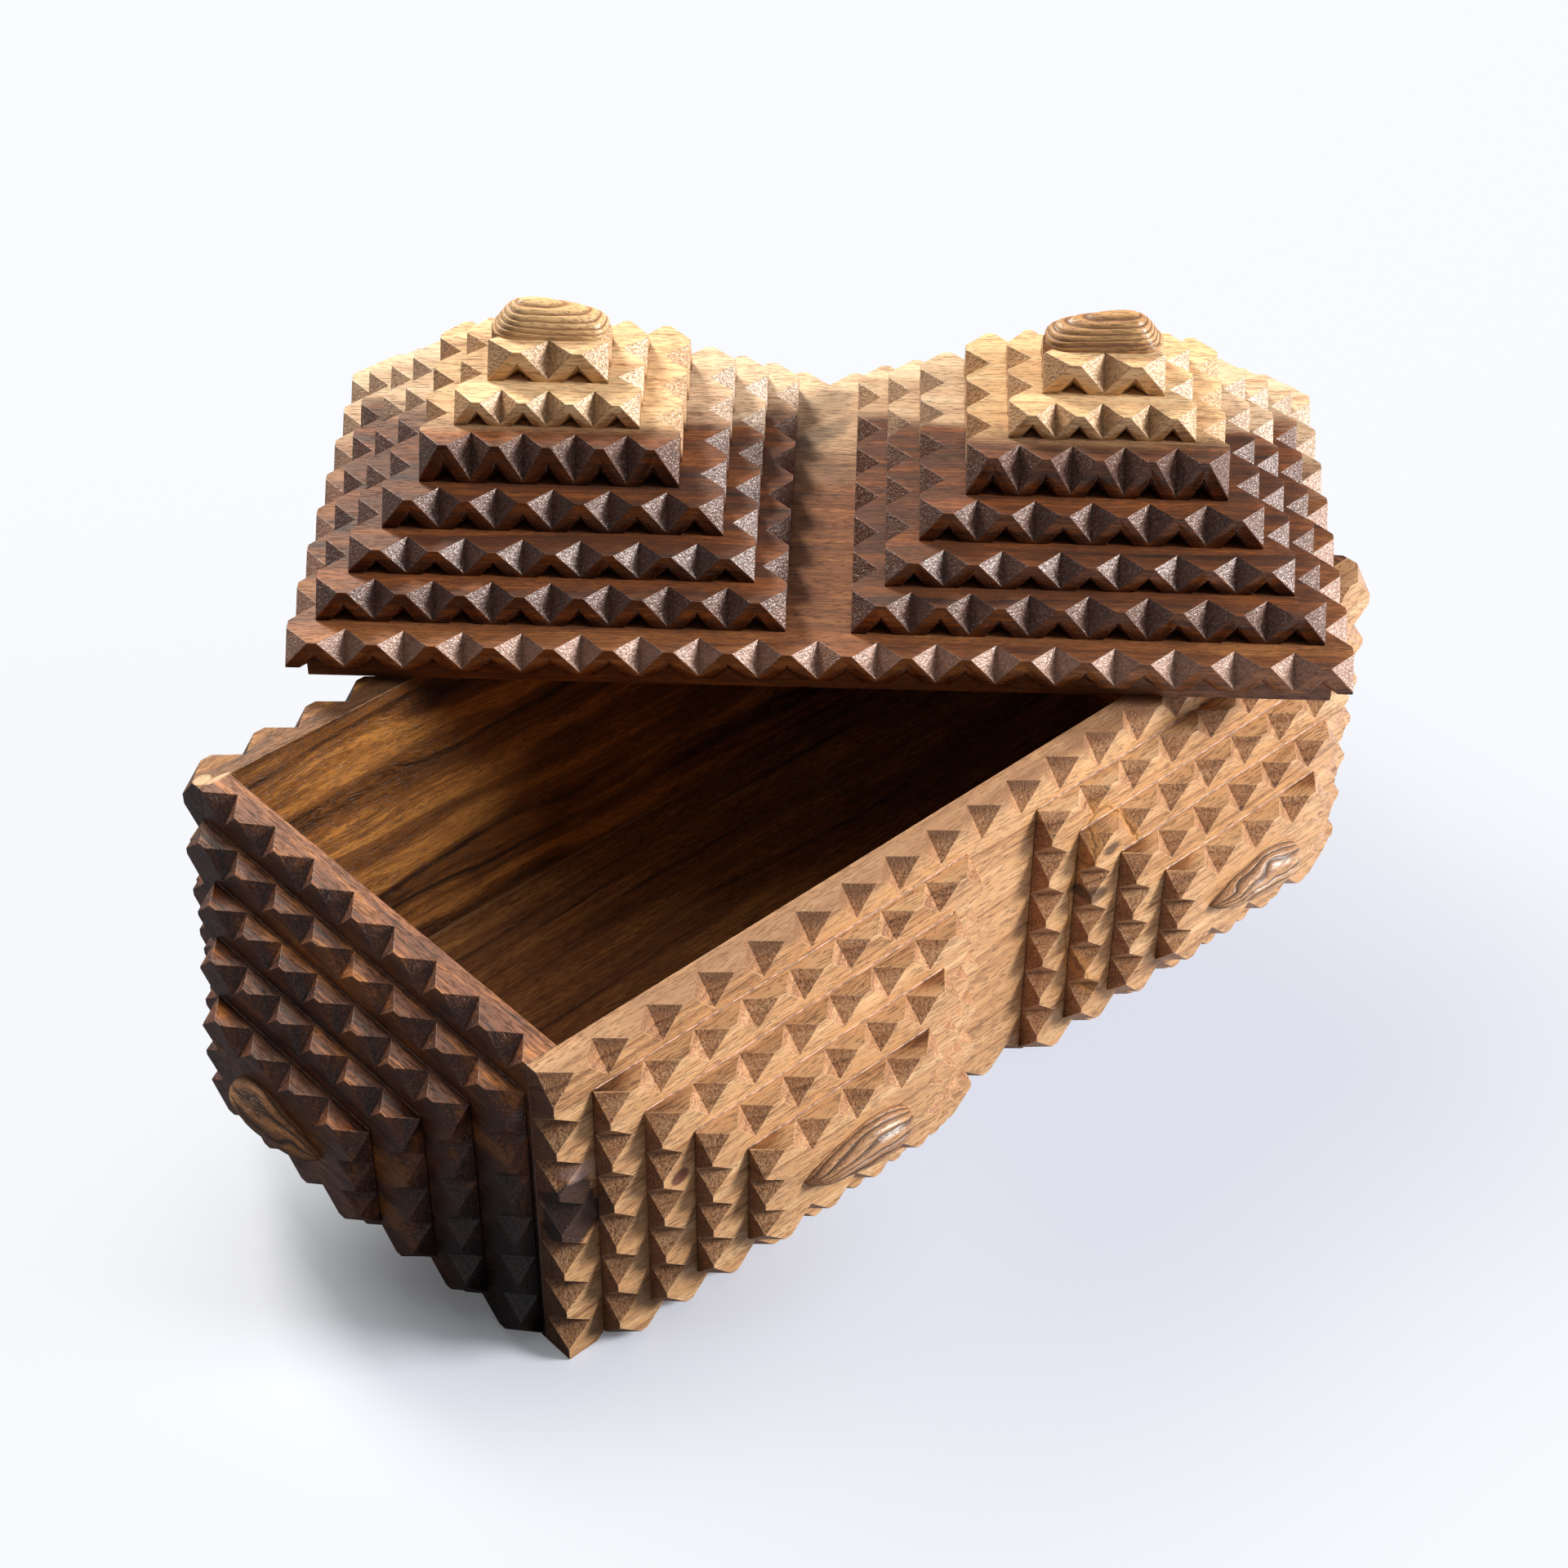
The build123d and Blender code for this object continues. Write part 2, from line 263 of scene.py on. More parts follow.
def plank_group():
    """Walnut as a solid: rings about a pith that runs along the plank, fibres and open pores.

    Place is in millimetres from the pith, its first axis along the grain.  Where a face cuts across the
    grain the same pores show as dots, with pale specks of painted glint among them."""
    tree, given, out = new_group(
        "plank grain",
        [
            ("Place", "Vector", None),
            ("Pale", "Color", None),
            ("Tan", "Color", None),
            ("Brown", "Color", None),
            ("Ring Spacing", "Float", 4.0),
            ("Wander", "Float", 9.0),
            ("Figure", "Float", 1.0),
            ("Pore Darkness", "Float", 0.5),
            ("Mottle", "Float", 0.3),
            ("Across", "Float", 0.0),
        ],
        [("Color", "Color"), ("Height", "Float"), ("Pores", "Float")],
    )
    place = given["Place"]
    # Rings: the distance from the pith, bent slowly, and a band of figure that follows it.
    wave = cloud(tree, place, RING_WAVE)
    push = vectors(tree, "SUBTRACT", wave.outputs["Color"], (0.5, 0.5, 0.5))
    push = vectors(tree, "MULTIPLY", push, (0, 1, 1))
    push = vectors(tree, "SCALE", push, scale=given["Wander"])
    bent = vectors(tree, "ADD", place, push)
    radius = vectors(tree, "LENGTH", vectors(tree, "MULTIPLY", bent, (0, 1, 1)))
    ring = maths(tree, "DIVIDE", radius, given["Ring Spacing"])
    parts = tree.nodes.new("ShaderNodeSeparateXYZ")
    tree.links.new(bent, parts.inputs[0])
    spot = tree.nodes.new("ShaderNodeCombineXYZ")
    feed(tree, spot.inputs[0], ring)
    feed(tree, spot.inputs[1], maths(tree, "MULTIPLY", parts.outputs[0], 1 / BAND_LENGTH))
    band = cloud(tree, spot.outputs[0], (1, 1, 1), 3.0, 0.62).outputs["Fac"]
    late = step_between(tree, maths(tree, "FRACT", ring), 0.62, 0.98)
    late = maths(tree, "MULTIPLY", late, step_between(tree, band, 0.42, 0.6))
    # Tone: 0 is the palest wood and 1 the brownest.
    fibre = cloud(tree, bent, FIBRE, 3.0, 0.6).outputs["Fac"]
    fleck = cloud(tree, bent, FLECK, 2.0, 0.6).outputs["Fac"]
    patchy = cloud(tree, place, PATCH, 3.0, 0.6).outputs["Fac"]
    figure = swing(tree, band, given["Figure"])
    tone = maths(tree, "MULTIPLY_ADD", figure, 1.5, 0.5)
    tone = maths(tree, "ADD", tone, maths(tree, "MULTIPLY", late, 0.22))
    tone = maths(tree, "ADD", tone, swing(tree, fibre, 0.6))
    tone = maths(tree, "ADD", tone, swing(tree, fleck, 0.55))
    tone = maths(tree, "ADD", tone, swing(tree, patchy, given["Mottle"]))
    color = blend_colors(tree, step_between(tree, tone, 0.12, 0.56), given["Pale"], given["Tan"])
    color = blend_colors(tree, step_between(tree, tone, 0.52, 0.98), color, given["Brown"])
    # Pores along the face, then the dots that they make on a cut across, and pale specks of painted
    # glint there.
    pore = cloud(tree, bent, PORE, 1.0, 0.5).outputs["Fac"]
    cluster = cloud(tree, place, PORE_CLUSTER, 1.0).outputs["Fac"]
    pores = step_between(tree, maths(tree, "MULTIPLY_ADD", cluster, 0.22, pore), 0.655, 0.74)
    dark = blend_colors(tree, 0.72, color, OILED_PORE)
    color = blend_colors(tree, maths(tree, "MULTIPLY", pores, given["Pore Darkness"]), color, dark)
    stipple = cloud(tree, place, STIPPLE, 2.0, 0.6).outputs["Fac"]
    dots = maths(tree, "MULTIPLY", step_between(tree, stipple, 0.5, 0.4), given["Across"])
    color = blend_colors(tree, maths(tree, "MULTIPLY", dots, given["Pore Darkness"]), color, dark)
    # Painted glint: pale specks on the faces cut across the grain.
    glint_specks = maths(tree, "MULTIPLY", step_between(tree, stipple, 0.54, 0.64), given["Across"])
    light = blend_colors(tree, 0.45, color, PAINTED_GLINT_SPECK)
    color = blend_colors(tree, maths(tree, "MULTIPLY", glint_specks, given["Pore Darkness"]), color, light)
    tree.links.new(color, out["Color"])
    # Height: fine fibres, rougher where the knife cut across them, with the pores sunk in.
    rough = maths(tree, "MULTIPLY_ADD", given["Across"], 3.2, 0.8)
    height = maths(tree, "MULTIPLY_ADD", stipple, rough, maths(tree, "MULTIPLY", fibre, 0.35))
    height = maths(tree, "SUBTRACT", height, pores)
    tree.links.new(height, out["Height"])
    tree.links.new(pores, out["Pores"])
    return tree


CREVICE = 2.6 * MM              # how near the other side of a notch is where dirt and painted shade lie
DIRT_AND_SHADE = (0.018, 0.008, 0.004, 1.0)


def wear_and_shade_group():
    """Dark dirt and lacquer left deep in the notches, darkened further there as painted shade, and wood
    rubbed paler on the arrises.
    """
    group, given, out = new_group(
        "wear_and_shade",
        [
            ("Color", "Color", None),
            ("Place", "Vector", None),
            ("Rubbed", "Color", None),
            ("Wear", "Float", 0.5),
            ("Dirt", "Float", 0.75),
        ],
        [("Color", "Color")],
    )
    # Painted shade: the colour darkens where ambient occlusion finds the notch closing in.
    hollow = group.nodes.new("ShaderNodeAmbientOcclusion")
    hollow.samples = 6
    hollow.only_local = True
    hollow.inputs["Distance"].default_value = CREVICE
    crevice = step_between(group, hollow.outputs["AO"], 0.34, 0.8, 1.0, 0.0)
    shade = maths(group, "MULTIPLY", crevice, given["Dirt"])
    soiled_and_shaded = blend_colors(group, 0.8, given["Color"], DIRT_AND_SHADE)
    color = blend_colors(group, shade, given["Color"], soiled_and_shaded)
    arris = group.nodes.new("ShaderNodeAttribute")
    arris.attribute_name = "arris"
    patch = cloud(group, given["Place"], (7, 4, 4), 2.0).outputs["Fac"]
    rubbed = maths(group, "MULTIPLY", arris.outputs["Fac"], step_between(group, patch, 0.36, 0.6))
    rubbed = maths(group, "MULTIPLY", rubbed, given["Wear"])
    color = blend_colors(group, rubbed, color, given["Rubbed"])
    group.links.new(color, out["Color"])
    return group


def mark_group():
    """A blotch or, where Ring is above 0, the line round it, at Center with half sizes Size."""
    group, given, out = new_group(
        "mark",
        [
            ("Place", "Vector", None),
            ("Center", "Vector", (0, 0, 0)),
            ("Size", "Vector", (10, 10, 10)),
            ("Wobble", "Float", 0.5),
            ("Feather", "Float", 0.2),
            ("Ring", "Float", 0.0),
        ],
        [("Mask", "Float")],
    )
    offset = vectors(group, "SUBTRACT", given["Place"], given["Center"])
    gap = vectors(group, "DIVIDE", offset, given["Size"])
    ragged = cloud(group, given["Place"], (14, 14, 9), 4.0, 0.6).outputs["Fac"]
    shift = swing(group, ragged, given["Wobble"])
    reach = maths(group, "ADD", vectors(group, "LENGTH", gap), shift)
    rim = maths(group, "ABSOLUTE", maths(group, "SUBTRACT", reach, 1.0))
    line = step_between(group, rim, 0.0, given["Feather"], 1.0, 0.0)
    line = maths(group, "MULTIPLY", line, given["Ring"])
    low = maths(group, "SUBTRACT", 1.0, given["Feather"])
    high = maths(group, "ADD", 1.0, given["Feather"])
    whole = step_between(group, reach, low, high, 1.0, 0.0)
    whole = maths(group, "MULTIPLY", whole, maths(group, "SUBTRACT", 1.0, given["Ring"]))
    group.links.new(maths(group, "ADD", line, whole), out["Mask"])
    return group


def dust_group():
    """The lacquer's roughness, raised by Dulling where a face looks up and dust settles on it."""
    group, given, out = new_group(
        "dust",
        [("Roughness", "Float", 0.36), ("Dulling", "Float", 0.34)],
        [("Roughness", "Float")],
    )
    facing = group.nodes.new("ShaderNodeSeparateXYZ")
    group.links.new(group.nodes.new("ShaderNodeNewGeometry").outputs["Normal"], facing.inputs[0])
    dusty = step_between(group, facing.outputs["Z"], 0.78, 0.96)
    dull = maths(group, "MULTIPLY_ADD", dusty, given["Dulling"], given["Roughness"])
    group.links.new(dull, out["Roughness"])
    return group


plank_grain = plank_group()
wear_and_shade = wear_and_shade_group()
mark_shape = mark_group()
dust = dust_group()


def grain_place(tree, turn, pith):
    """Object coordinates in millimetres, turned so that the first axis follows the grain."""
    where = tree.nodes.new("ShaderNodeTexCoord")
    place = tree.nodes.new("ShaderNodeMapping")
    tree.links.new(where.outputs["Object"], place.inputs["Vector"])
    place.inputs["Scale"].default_value = (1 / MM,) * 3
    place.inputs["Rotation"].default_value = (0, 0, -turn)
    place.inputs["Location"].default_value = pith
    return place.outputs[0]


def end_grain(tree, turn):
    """How squarely a face cuts across the grain, from 0 to 1."""
    where = tree.nodes.new("ShaderNodeTexCoord")
    along = (math.cos(turn), math.sin(turn), 0)
    return maths(tree, "ABSOLUTE", vectors(tree, "DOT_PRODUCT", where.outputs["Normal"], along))


def use_group(tree, group, **values):
    """A group's outputs, with its inputs set or linked; an underscore stands for a space."""
    node = tree.nodes.new("ShaderNodeGroup")
    node.node_tree = group
    for label, value in values.items():
        feed(tree, node.inputs[label.replace("_", " ")], value)
    return node.outputs


def lacquered(color, height, rough, bump=0.12):
    """The material's own shader: a satin lacquer over the wood, duller on top."""
    tree = color.id_data
    shader = tree.nodes.new("ShaderNodeBsdfPrincipled")
    shader.inputs["Specular IOR Level"].default_value = 0.5
    shader.inputs["Coat Weight"].default_value = 0.1
    shader.inputs["Coat Roughness"].default_value = 0.34
    relief = tree.nodes.new("ShaderNodeBump")
    relief.inputs["Strength"].default_value = 1.0
    relief.inputs["Distance"].default_value = bump * MM
    tree.links.new(height, relief.inputs["Height"])
    tree.links.new(relief.outputs[0], shader.inputs["Normal"])
    tree.links.new(color, shader.inputs["Base Color"])
    dull = use_group(tree, dust, Roughness=rough, Dulling=0.34)["Roughness"]
    tree.links.new(dull, shader.inputs["Roughness"])
    output = tree.nodes.new("ShaderNodeOutputMaterial")
    tree.links.new(shader.outputs[0], output.inputs["Surface"])


def new_material(name):
    """An empty material and its node tree."""
    material = bpy.data.materials.new(name)
    material.use_nodes = True
    material.node_tree.nodes.clear()
    return material, material.node_tree


def dress(piece, material):
    """Gives a piece its only material and the slot that names it."""
    piece.data.materials.clear()
    piece.data.materials.append(material)


def mark(middle, half, tint, strength, wobble=1.3, feather=0.5, ring=0.0):
    """A blotch or knot, or the line round it where ring is 1.  Sizes are in millimetres."""
    return dict(Center=middle, Size=half, Wobble=wobble, Feather=feather, Ring=ring), tint, strength


def add_marks(tree, color, marks):
    """The colour with the marks laid over it, in the order given."""
    where = tree.nodes.new("ShaderNodeTexCoord")
    place = vectors(tree, "SCALE", where.outputs["Object"], scale=1 / MM)
    for shape, tint, strength in marks:
        mask = use_group(tree, mark_shape, Place=place, **shape)["Mask"]
        color = blend_colors(tree, maths(tree, "MULTIPLY", mask, strength), color, tint)
    return color


def walnut(
    name, turn, pith, pale, tan, brown, ends=None, ring=4.0, wander=9.0, figure=1.0, pores=0.6,
    mottle=0.4, wear=0.6, marks=()
):
    """One board's walnut: where its pith lies, its tones and how busy its figure is."""
    material, tree = new_material(name)
    place = grain_place(tree, turn, pith)
    across = end_grain(tree, turn)
    wood = use_group(
        tree, plank_grain, Place=place, Pale=pale, Tan=tan, Brown=brown, Ring_Spacing=ring,
        Wander=wander, Figure=figure, Pore_Darkness=pores, Mottle=mottle, Across=across
    )
    soaked = maths(tree, "MULTIPLY", across, 0.6)
    cut = blend_colors(tree, soaked, wood["Color"], ends or brown, "MULTIPLY")
    worn = blend_colors(tree, 0.55, tan, pale)
    worn_shaded = use_group(tree, wear_and_shade, Color=cut, Place=place, Rubbed=worn, Wear=wear, Dirt=0.75)
    rough = step_between(tree, wood["Pores"], 0.0, 1.0, 0.36, 0.6)
    lacquered(add_marks(tree, worn_shaded["Color"], marks), wood["Height"], rough)
    return material


def rgb(red, green, blue):
    """A colour given as it looks, out of 255, as the shader takes it."""
    shares = [c / 255 for c in (red, green, blue)]
    linear = [((c + 0.055) / 1.055) ** 2.4 if c > 0.04 else c / 12.92 for c in shares]
    return (*linear, 1.0)


honey = dict(
    pale=rgb(228, 186, 138), tan=rgb(204, 154, 106), brown=rgb(150, 104, 66), ends=rgb(176, 116, 82),
    pores=0.62
)
chocolate = dict(
    pale=rgb(212, 134, 62), tan=rgb(112, 60, 32), brown=rgb(46, 24, 16), ends=rgb(134, 84, 56),
    figure=0.75, mottle=1.2, wear=0.2
)
plain_chocolate = dict(chocolate, pale=rgb(190, 124, 72), tan=rgb(118, 70, 44), figure=0.55)
golden_brown = dict(pale=rgb(190, 130, 66), tan=rgb(120, 76, 38), brown=rgb(46, 27, 15))
RESIN = rgb(30, 16, 12)
CLOUDY_RESIN = rgb(50, 28, 23)
AMBER = rgb(214, 150, 78)
SAP = rgb(214, 178, 136)
LONG_WAY = 0.0
CROSS_WAY = math.radians(90)

# Resin fills a hole by the near corner; a brown line runs round it and glue shows at the joint.
RESIN_HOLE = (-181, -95, 64)
resin_marks = [
    mark(RESIN_HOLE, (10, 11, 17), CLOUDY_RESIN, 0.96, feather=0.08),
    mark(RESIN_HOLE, (10.4, 11.4, 17.6), rgb(128, 78, 50), 0.85, feather=0.05, ring=1.0),
    mark((-176, -95, 80), (7, 11, 3), rgb(214, 178, 168), 0.6, wobble=1.6, feather=0.3),
    mark((-186.2, -83.8, 64), (2.5, 0.5, 58), rgb(196, 166, 156), 0.8, wobble=0.2, feather=0.4),
]
# Painted shade: the lower front corner of the left end, and of its pyramid, is darkened.
painted_shade_corner = [mark((-205, -92, 18), (60, 46, 62), rgb(22, 12, 10), 0.92, wobble=1.1)]
sap_chip = [
    mark((-183.2, 86.9, 123.5), (3.0, 1.9, 3), SAP, 0.85, wobble=1.6, feather=0.25),
    mark((-178.6, 84.0, 123.5), (4.2, 0.9, 3), SAP, 0.85, wobble=1.2, feather=0.25),
]
# Darkens the front rim's top: partly a stain, partly painted shade on the face that looks up.
rim_stain_and_shade = [
    mark((-60, -89.5, 123), (150, 8, 4), rgb(130, 92, 64), 0.7),
    mark((110, -89.5, 123), (90, 8, 4), rgb(146, 102, 72), 0.6),
]
glue_line = [mark((-70, 83.5, 5.4), (110, 2, 0.9), rgb(170, 138, 104), 0.7, wobble=1.2, feather=0.4)]
wood = walnut("front_wall", LONG_WAY, (31, 140, -46), marks=resin_marks + rim_stain_and_shade, **honey)
dress(hand_cut("front_wall"), wood)
wood = walnut(
    "back_wall", LONG_WAY, (-60, -96, 44), ring=12.0, wander=30.0, figure=1.5, mottle=0.7,
    marks=sap_chip + glue_line, **golden_brown
)
dress(hand_cut("back_wall"), wood)
wood = walnut("left_wall", CROSS_WAY, (20, 150, 20), marks=painted_shade_corner + sap_chip, **plain_chocolate)
dress(hand_cut("left_wall"), wood)
wood = walnut("right_wall", CROSS_WAY, (75, -150, 10), **chocolate)
dress(hand_cut("right_wall"), wood)
wood = walnut(
    "bottom_panel", LONG_WAY, (15, 20, 60), pale=rgb(206, 146, 80), tan=rgb(138, 90, 48),
    brown=rgb(54, 32, 18), ring=7.0, figure=0.7
)
dress(hand_cut("bottom_panel"), wood)


# ---- wall pyramids ---------------------------------------------------------------------------
# Four thinner boards of falling size on each end and two stacks on each long side, glued one
# on the other.  Their edges are chipped all round before they are glued on.

WALL_TIERS = range(1, 5)
CRACK_AT = (38.5, -112, 67)
CRACK_SIZE = (12.5, 60, 38)
crack = [
    mark(CRACK_AT, CRACK_SIZE, AMBER, 0.7, wobble=0.5, feather=0.16, ring=1.0),
    mark(CRACK_AT, CRACK_SIZE, RESIN, 0.55, wobble=0.5, feather=0.05, ring=1.0),
    mark((37, -112, 93), (4, 60, 2.6), RESIN, 0.7, wobble=1.5, feather=0.3),
    mark((31, -112, 75), (4.5, 60, 3), RESIN, 0.7, wobble=1.5, feather=0.3),
]
small_knot = [mark((-152.5, -111.7, 73), (3.4, 4, 2.8), rgb(112, 58, 42), 0.9, wobble=0.7, feather=0.2)]
marks_of = {"front_right_tier_1": crack, "front_right_tier_2": crack, "front_left_tier_2": small_knot}
for number, name in enumerate(("front_left", "front_right", "back_left", "back_right")):
    side = 1 if name.startswith("front") else -1
    tones = honey if side > 0 else golden_brown
    for tier in WALL_TIERS:
        node = f"{name}_tier_{tier}"
        pith = (47 * number + 90 * tier, side * (120 + 9 * tier), -60 + 23 * tier)
        wood = walnut(node, LONG_WAY, pith, marks=marks_of.get(node, ()), **tones)
        dress(hand_cut(node, glued=(0, side, 0)), wood)
for number, name in enumerate(("left", "right")):
    for tier in WALL_TIERS:
        node = f"{name}_tier_{tier}"
        pith = (61 * number + 70 * tier, 130 - 11 * tier, -50 + 21 * tier)
        wood = walnut(node, CROSS_WAY, pith, marks=() if number else painted_shade_corner, **chocolate)
        dress(hand_cut(node, glued=(-1 if number else 1, 0, 0)), wood)


# ---- lacquer beads ---------------------------------------------------------------------------
# Clear lacquer, laid on after gluing, has gathered in the upper joint of every wall pyramid's
# boards and dried there as a thin bead, paler on the front than elsewhere.

BEAD = 0.24 * MM                # how far a bead reaches over each of the two boards
BEAD_HOLLOW = 0.55              # its face is drawn in to this share of a square corner
BEAD_REACH = 0.985              # share of the board's length that it runs


def bead_strip(bm, start, end, out, rise):
    """A four-sided strip from start to end, lying in the corner between out and rise."""
    section = (Vector(), out * BEAD, (out + rise) * BEAD * BEAD_HOLLOW, rise * BEAD)
    verts = [(bm.verts.new(start + d), bm.verts.new(end + d)) for d in section]
    for i in range(4):
        a, b = verts[i], verts[(i + 1) % 4]
        bm.faces.new((a[0], a[1], b[1], b[0]))
    bm.faces.new([v[0] for v in reversed(verts)])
    bm.faces.new([v[1] for v in verts])


def joint_beads(names, out, tint, slot):
    """Beads along the top joint of each of the named stacks' boards."""
    along = Vector((abs(out.y), abs(out.x), 0))
    bm = bmesh.new()
    for name in names:
        for tier in WALL_TIERS:
            low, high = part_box(f"{name}_tier_{tier}")
            middle = (low + high) / 2
            half = (high - low) / 2
            base = middle - out * abs(half.dot(out)) + Vector((0, 0, half.z))
            reach = along * abs(half.dot(along)) * BEAD_REACH
            bead_strip(bm, base - reach, base + reach, out, Vector((0, 0, 1)))
    bmesh.ops.recalc_face_normals(bm, faces=bm.faces)
    mesh = bpy.data.meshes.new(slot + "_beads")
    bm.to_mesh(mesh)
    bm.free()
    piece = bpy.data.objects.new(f"{names[0]}_lacquer_beads", mesh)
    bpy.context.scene.collection.objects.link(piece)
    material, tree = new_material(piece.name)
    where = tree.nodes.new("ShaderNodeTexCoord")
    place = vectors(tree, "SCALE", where.outputs["Object"], scale=1 / MM)
    broken = cloud(tree, place, (3, 3, 3), 3.0).outputs["Fac"]
    color = blend_colors(tree, step_between(tree, broken, 0.4, 0.6), tint[0], tint[1])
    lacquered(color, broken, 0.5, bump=0.05)
    mesh.materials.append(material)
    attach(piece, "box")


PALE_BEAD = (rgb(206, 160, 132), rgb(112, 70, 50))
DARK_BEAD = (rgb(158, 112, 92), rgb(60, 34, 26))
joint_beads(("front_left", "front_right"), Vector((0, -1, 0)), PALE_BEAD, "side_pyramids")
joint_beads(("back_left", "back_right"), Vector((0, 1, 0)), DARK_BEAD, "side_pyramids")
joint_beads(("left",), Vector((-1, 0, 0)), DARK_BEAD, "end_pyramids")
joint_beads(("right",), Vector((1, 0, 0)), DARK_BEAD, "end_pyramids")


# ---- knobs -----------------------------------------------------------------------------------
# A mussel-shaped knob carved from a quarter of ringed wood on the face of each wall pyramid.
# The soft wood between the growth rings is brushed away, so the rings stand as grooves and ribs.

GROOVE_DEPTH = 0.6 * MM
FULL_GROOVE = 1.2 * MM          # the grooves fade out below this height over the flat
RING_BENDS = 120.0              # bends of a growth ring in a metre
OWN_BENDS = 50.0                # shifts the bends from one knob to the next
POLE_WELD = 0.01 * MM           # each row of the mesh ends in one corner at the rim
MOUND_STEPS = (84, 96)


def mound(node, origin, along, across, length, outline, crown, rings, groove_share=0.2, stray=0.4):
    """A carved mound on a flat: outline(t) gives its front and back, crown(t, s) its height.

    t runs from -1 to 1 along it and s from -1 to 1 across.  rings(t, s, place) numbers the
    growth rings.  A groove takes about groove_share of a ring, and a ring strays by stray."""
    out = along.cross(across)
    bm = bmesh.new()
    ring_layer = bm.verts.layers.float.new("ring")
    rows = []
    for i in range(MOUND_STEPS[0] + 1):
        t = -math.cos(math.pi * i / MOUND_STEPS[0])
        near, far = outline(t)
        row = []
        for j in range(MOUND_STEPS[1] + 1):
            s = -math.cos(math.pi * j / MOUND_STEPS[1])
            place = Vector((t * length / 2, near + (far - near) * (s + 1) / 2, crown(t, s)))
            wobble = noise.noise(place * RING_BENDS + origin * OWN_BENDS) * stray
            ring = rings(t, s, place) + wobble
            groove = math.exp(-((ring - round(ring)) / groove_share) ** 2)
            inside = min(1.0, place.z / FULL_GROOVE)
            place.z -= GROOVE_DEPTH * groove * inside
            vert = bm.verts.new(origin + along * place.x + across * place.y + out * place.z)
            vert[ring_layer] = ring
            row.append(vert)
        rows.append(row)
    for i in range(MOUND_STEPS[0]):
        for j in range(MOUND_STEPS[1]):
            bm.faces.new((rows[i][j], rows[i + 1][j], rows[i + 1][j + 1], rows[i][j + 1]))
    rim = [r[0] for r in rows] + [r[-1] for r in reversed(rows)]
    bm.faces.new(tuple(reversed(rim)))
    bmesh.ops.remove_doubles(bm, verts=bm.verts, dist=POLE_WELD)
    bmesh.ops.recalc_face_normals(bm, faces=bm.faces)
    for face in bm.faces:
        face.smooth = len(face.verts) <= 4
    mesh = bpy.data.meshes.new(node + "_carved")
    bm.to_mesh(mesh)
    bm.free()
    piece = bpy.data.objects.new(node + "_carved", mesh)
    bpy.context.scene.collection.objects.link(piece)
    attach(piece, frame["nodes"][node]["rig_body"])
    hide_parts(node)
    return piece


def ringed(name, turn, pale, tan, brown, line):
    """Wood cut through its growth rings: a dark line at each, and pores between."""
    material, tree = new_material(name)
    place = grain_place(tree, turn, (0, 70, 40))
    wood = use_group(
        tree, plank_grain, Place=place, Pale=pale, Tan=tan, Brown=brown, Ring_Spacing=9.0, Wander=6.0,
        Figure=0.6, Pore_Darkness=0.6
    )
    ring = tree.nodes.new("ShaderNodeAttribute")
    ring.attribute_name = "ring"
    part = maths(tree, "FRACT", ring.outputs["Fac"])
    after = step_between(tree, part, 0.0, 0.28, 1.0, 0.0)
    before = step_between(tree, part, 0.7, 1.0)
    shade = maths(tree, "MULTIPLY", step_between(tree, part, 0.35, 1.0), 0.45)
    color = blend_colors(tree, shade, wood["Color"], brown)
    edge = maths(tree, "MULTIPLY", maths(tree, "MAXIMUM", after, before), 0.85)
    color = blend_colors(tree, edge, color, line)
    worn_shaded = use_group(tree, wear_and_shade, Color=color, Place=place, Rubbed=pale, Wear=0.0, Dirt=0.5)
    lacquered(worn_shaded["Color"], wood["Height"], 0.36, bump=0.08)
    return material


def leaf(half, blunt):
    """A leaf's outline, pointed at the start and blunt at the end."""
    def edge(t):
        reach = half * ((1 + t) / (1 + blunt)) ** 0.62 if t < blunt else half
        fall = max(0.0, (t - blunt) / (1 - blunt)) if t > blunt else 0.0
        reach *= math.sqrt(max(0.0, 1 - fall ** 2.2))
        return -reach, reach
    return edge


def mussel(height):
    """A rounded back that falls away at both ends and is a little lower at the pointed one."""
    def crown(t, s):
        body = (1 - s * s) ** 0.6 if abs(s) < 1 else 0.0
        run = (1 - abs(t) ** 3.6) ** 0.5 if abs(t) < 1 else 0.0
        return height * body * run * (0.86 + 0.14 * t)
    return crown


KNOB_TONES = dict(
    pale=rgb(222, 180, 132), tan=rgb(182, 134, 92), brown=rgb(116, 74, 46), line=rgb(50, 27, 16)
)
DARK_KNOB_TONES = dict(
    pale=rgb(232, 172, 108), tan=rgb(174, 118, 72), brown=rgb(94, 55, 34), line=rgb(32, 17, 11)
)
# Each knob's stack, its way along and across, its rings on either side of the middle, its tones.
knob_ways = (
    ("front_left", Vector((1, 0, 0)), Vector((0, 0, 1)), 4.4, 1.4, KNOB_TONES),
    ("front_right", Vector((1, 0, 0)), Vector((0, 0, 1)), 4.0, 1.3, KNOB_TONES),
    ("back_left", Vector((-1, 0, 0)), Vector((0, 0, 1)), 5.0, 2.0, DARK_KNOB_TONES),
    ("back_right", Vector((-1, 0, 0)), Vector((0, 0, 1)), 3.0, 4.0, DARK_KNOB_TONES),
    ("left", Vector((0, 1, 0)), Vector((0, 0, -1)), 3.4, 2.8, DARK_KNOB_TONES),
    ("right", Vector((0, 1, 0)), Vector((0, 0, 1)), 4.4, 2.2, DARK_KNOB_TONES),
)
